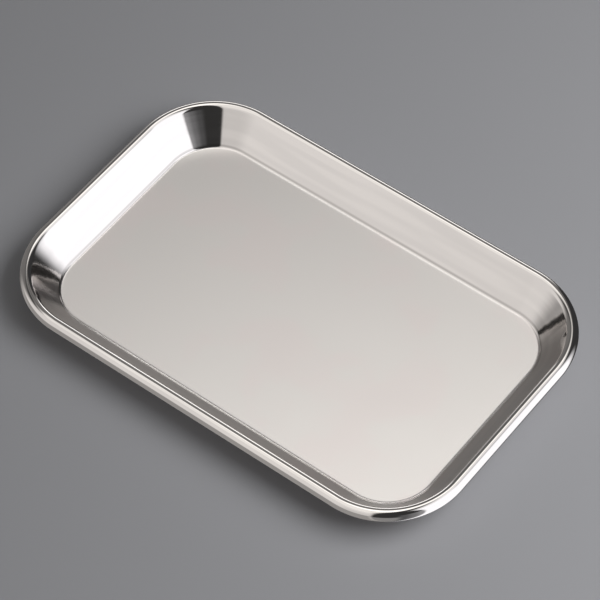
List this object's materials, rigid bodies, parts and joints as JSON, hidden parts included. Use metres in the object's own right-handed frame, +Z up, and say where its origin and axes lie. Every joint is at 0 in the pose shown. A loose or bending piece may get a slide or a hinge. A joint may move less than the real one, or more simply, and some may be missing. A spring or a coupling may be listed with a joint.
{
  "type": "medicine tray",
  "caption": "Shallow rectangular steel tray with a flat floor, sloping walls, rounded corners and a wire-stiffened rolled rim, for holding tablets, medicines or small instruments.",
  "frame": {"origin": "centre of the tray's underside, on the surface that the tray stands on", "axes": "+X along the tray's long sides, +Y across it towards the side where the ends of the rim wire meet, +Z up out of the tray"},
  "size_m": [0.254, 0.165, 0.0175],
  "materials": {
    "pressed_sheet": "satin",
    "wire": "satin"
  },
  "bodies": {
    "root": {"tray_pan": "pressed_sheet", "rim_wire": "wire"}
  },
  "joints": []
}
